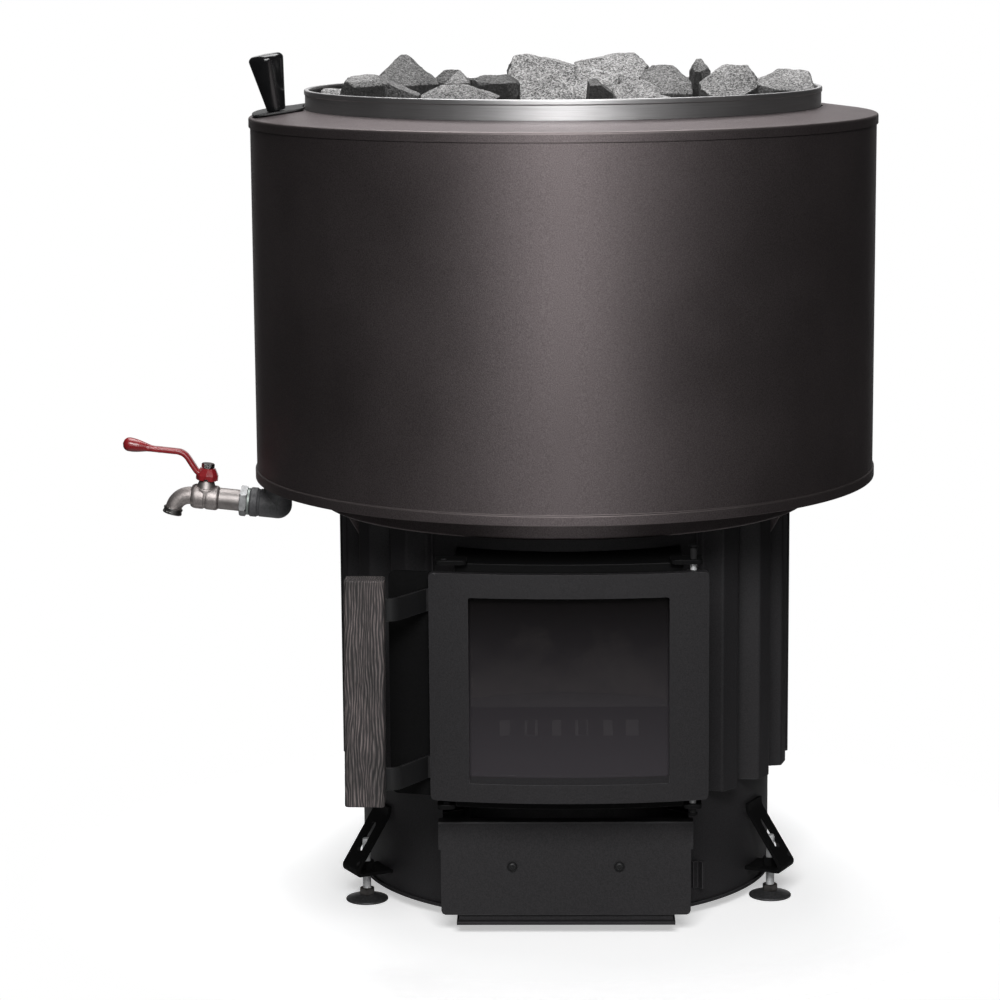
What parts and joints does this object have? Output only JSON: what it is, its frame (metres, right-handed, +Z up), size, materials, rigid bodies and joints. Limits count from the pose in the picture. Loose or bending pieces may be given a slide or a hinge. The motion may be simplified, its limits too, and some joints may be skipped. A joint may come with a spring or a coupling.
{
  "type": "wood-burning sauna stove",
  "caption": "Round wood-burning sauna stove with a ring-shaped water tank around the stone pot, bowed glass door, ash drawer, air ribs, drain tap and three screw feet.",
  "frame": {"origin": "the stove's upright axis at floor level, under the three foot pads", "axes": "+Z up; -Y towards the user, out of the fire door; +X to the user's right, the side the door hinges on"},
  "size_m": [0.7197, 0.6155, 0.7961],
  "materials": {
    "black_steel": "heat-proof black paint, fine texture",
    "cast_iron": "raw casting",
    "fire_board": "dull board, sooted",
    "bronze_coat": "dark brown powder coat with a satin sheen",
    "stainless": "brushed around the ring",
    "zinc": "bright zinc plating",
    "nickel": "satin nickel plating",
    "red_paint": "glossy dipped coat",
    "dark_ash": "dark brushed ash with open grain",
    "door_glass": "heat-proof glass, tinted",
    "gasket_rope": "woven glass-fibre rope",
    "black_knob": "polished black",
    "grey_plastic": "dull dark grey",
    "granite": "rough, speckled light and dark grey"
  },
  "bodies": {
    "stove_body": {"base_plate": "black_steel", "body_shell": "black_steel", "front_frame": "black_steel", "fire_floor": "cast_iron", "grate": "cast_iron", "rear_lining": "fire_board", "ember_guard": "cast_iron", "rib_panel_left": "black_steel", "rib_panel_right": "black_steel", "support_collar": "bronze_coat", "tank_floor": "bronze_coat", "tank_jacket": "bronze_coat", "top_cover": "bronze_coat", "tank_inner_wall": "stainless", "stone_pot": "black_steel", "pot_floor": "cast_iron", "stone_rim": "stainless", "flue_collar": "black_steel", "hinge_pin_top": "zinc", "hinge_pin_bottom": "zinc", "foot_bracket_left": "black_steel", "foot_bracket_right": "black_steel", "foot_bracket_rear": "black_steel", "lid_hinge_pin": "zinc", "tap_elbow": "grey_plastic", "tap_union_nut": "zinc", "tap_body": "nickel", "stone_01": "granite", "stone_02": "granite", "stone_03": "granite", "stone_04": "granite", "stone_05": "granite", "stone_06": "granite", "stone_07": "granite", "stone_08": "granite", "stone_09": "granite", "stone_10": "granite", "stone_11": "granite", "stone_12": "granite", "stone_heap": "granite"},
    "door": {"door_leaf": "black_steel", "door_glass": "door_glass", "glass_retainer": "black_steel", "door_gasket": "gasket_rope", "handle_strap_top": "black_steel", "handle_strap_bottom": "black_steel", "handle_bar": "dark_ash", "handle_shield": "black_steel"},
    "ash_drawer": {"drawer_tray": "black_steel", "drawer_front": "black_steel", "drawer_screw_left": "black_steel", "drawer_screw_right": "black_steel"},
    "tap_handle": {"tap_ball": "nickel", "tap_lever": "red_paint", "tap_lever_nut": "nickel"},
    "lid": {"filler_lid": "black_steel", "lid_knob": "black_knob"},
    "left_foot": {"foot_left": "zinc"},
    "right_foot": {"foot_right": "zinc"},
    "rear_foot": {"foot_rear": "zinc"}
  },
  "joints": [
    {"name": "door_hinge", "type": "hinge", "parent": "stove_body", "child": "door", "pos_m": [0.114, -0.25053, 0.245], "axis": [0, 0, 1], "range_deg": [0, 115]},
    {"name": "drawer_slide", "type": "slide", "parent": "stove_body", "child": "ash_drawer", "axis": [0, -1, 0], "range_m": [0, 0.25]},
    {"name": "tap_turn", "type": "hinge", "parent": "stove_body", "child": "tap_handle", "pos_m": [-0.34607, 0, 0.37074], "axis": [0.1097, 0, 0.994], "range_deg": [0, 90]},
    {"name": "lid_hinge", "type": "hinge", "parent": "stove_body", "child": "lid", "pos_m": [-0.22797, 0.14245, 0.74392], "axis": [-0.8405, 0.5252, -0.133], "range_deg": [0, 100]},
    {"name": "left_foot_screw", "type": "slide", "parent": "stove_body", "child": "left_foot", "axis": [0, 0, -1], "range_m": [0, 0.02]},
    {"name": "right_foot_screw", "type": "slide", "parent": "stove_body", "child": "right_foot", "axis": [0, 0, -1], "range_m": [0, 0.02]},
    {"name": "rear_foot_screw", "type": "slide", "parent": "stove_body", "child": "rear_foot", "axis": [0, 0, -1], "range_m": [0, 0.02]}
  ]
}
